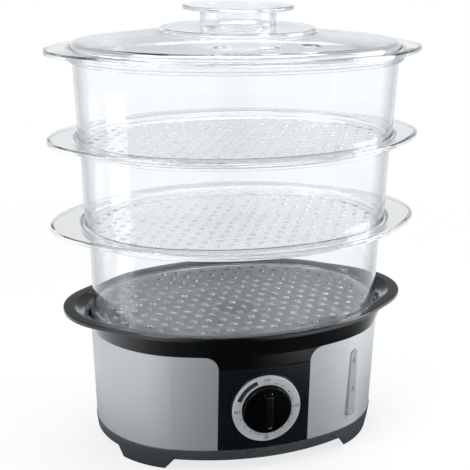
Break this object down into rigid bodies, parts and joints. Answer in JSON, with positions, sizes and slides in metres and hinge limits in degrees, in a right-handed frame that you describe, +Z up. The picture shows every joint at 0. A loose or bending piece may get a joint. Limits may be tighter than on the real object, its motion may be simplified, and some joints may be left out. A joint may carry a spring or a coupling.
{
  "type": "electric food steamer",
  "caption": "Countertop electric food steamer: clear oval baskets stacked on a steel-clad base with a water tank, side gauge and rotary timer knob, under a clear lid.",
  "frame": {"origin": "middle of the base, on the surface the rubber feet stand on", "axes": "+Z up, +X along the long side to the viewer's right, the control panel faces -Y"},
  "size_m": [0.335, 0.244, 0.395],
  "materials": {
    "brushed_steel": "brushed along the wrap",
    "black_gloss": "glossy",
    "charcoal_plastic": "fine satin",
    "clear_plastic": "clear, glossy",
    "gauge_clear": "clear, glossy",
    "dial_silver": "satin silver",
    "rubber": "matt",
    "zinc_steel": "plated",
    "aluminium": "satin",
    "brass": "plain",
    "ceramic_white": "glazed",
    "wire_brown": "satin",
    "wire_blue": "satin",
    "wire_green": "satin"
  },
  "bodies": {
    "base": {"base_plate": "charcoal_plastic", "foot_pads": "rubber", "base_screws": "zinc_steel", "lower_shell": "charcoal_plastic", "steel_wrap": "brushed_steel", "control_panel": "black_gloss", "dial_ring": "dial_silver", "timer_housing": "zinc_steel", "timer_bell": "zinc_steel", "timer_screws": "zinc_steel", "upper_housing": "black_gloss", "water_tank": "charcoal_plastic", "gauge_seal": "rubber", "gauge_window": "gauge_clear", "heater_plate": "aluminium", "heater_gasket": "rubber", "heating_element": "zinc_steel", "heater_pins": "brass", "heater_screws": "zinc_steel", "thermostat": "aluminium", "thermal_fuse": "ceramic_white", "terminal_block": "ceramic_white", "cord_gland": "charcoal_plastic", "live_wire": "wire_brown", "neutral_wire": "wire_blue", "earth_wire": "wire_green", "switched_wire": "wire_brown"},
    "timer": {"timer_knob": "black_gloss", "timer_shaft": "zinc_steel"},
    "steam_ring": {"steam_ring": "charcoal_plastic"},
    "drip_tray": {"drip_tray": "charcoal_plastic"},
    "basket_bottom": {"basket_bottom": "clear_plastic"},
    "basket_middle": {"basket_middle": "clear_plastic"},
    "basket_top": {"basket_top": "clear_plastic"},
    "lid": {"lid": "clear_plastic", "lid_knob": "clear_plastic"}
  },
  "joints": [
    {"name": "timer_turn", "type": "hinge", "parent": "base", "child": "timer", "pos_m": [0, -0.1, 0.0615], "axis": [0, 1, 0], "range_deg": [0, 342]},
    {"name": "steam_ring_lift", "type": "slide", "parent": "base", "child": "steam_ring", "axis": [0, 0, 1], "range_m": [0, 0.11]},
    {"name": "drip_tray_lift", "type": "slide", "parent": "steam_ring", "child": "drip_tray", "axis": [0, 0, 1], "range_m": [0, 0.05]},
    {"name": "basket_bottom_lift", "type": "slide", "parent": "drip_tray", "child": "basket_bottom", "axis": [0, 0, 1], "range_m": [0, 0.06]},
    {"name": "basket_middle_lift", "type": "slide", "parent": "basket_bottom", "child": "basket_middle", "axis": [0, 0, 1], "range_m": [0, 0.06]},
    {"name": "basket_top_lift", "type": "slide", "parent": "basket_middle", "child": "basket_top", "axis": [0, 0, 1], "range_m": [0, 0.06]},
    {"name": "lid_lift", "type": "slide", "parent": "basket_top", "child": "lid", "axis": [0, 0, 1], "range_m": [0, 0.06]}
  ]
}
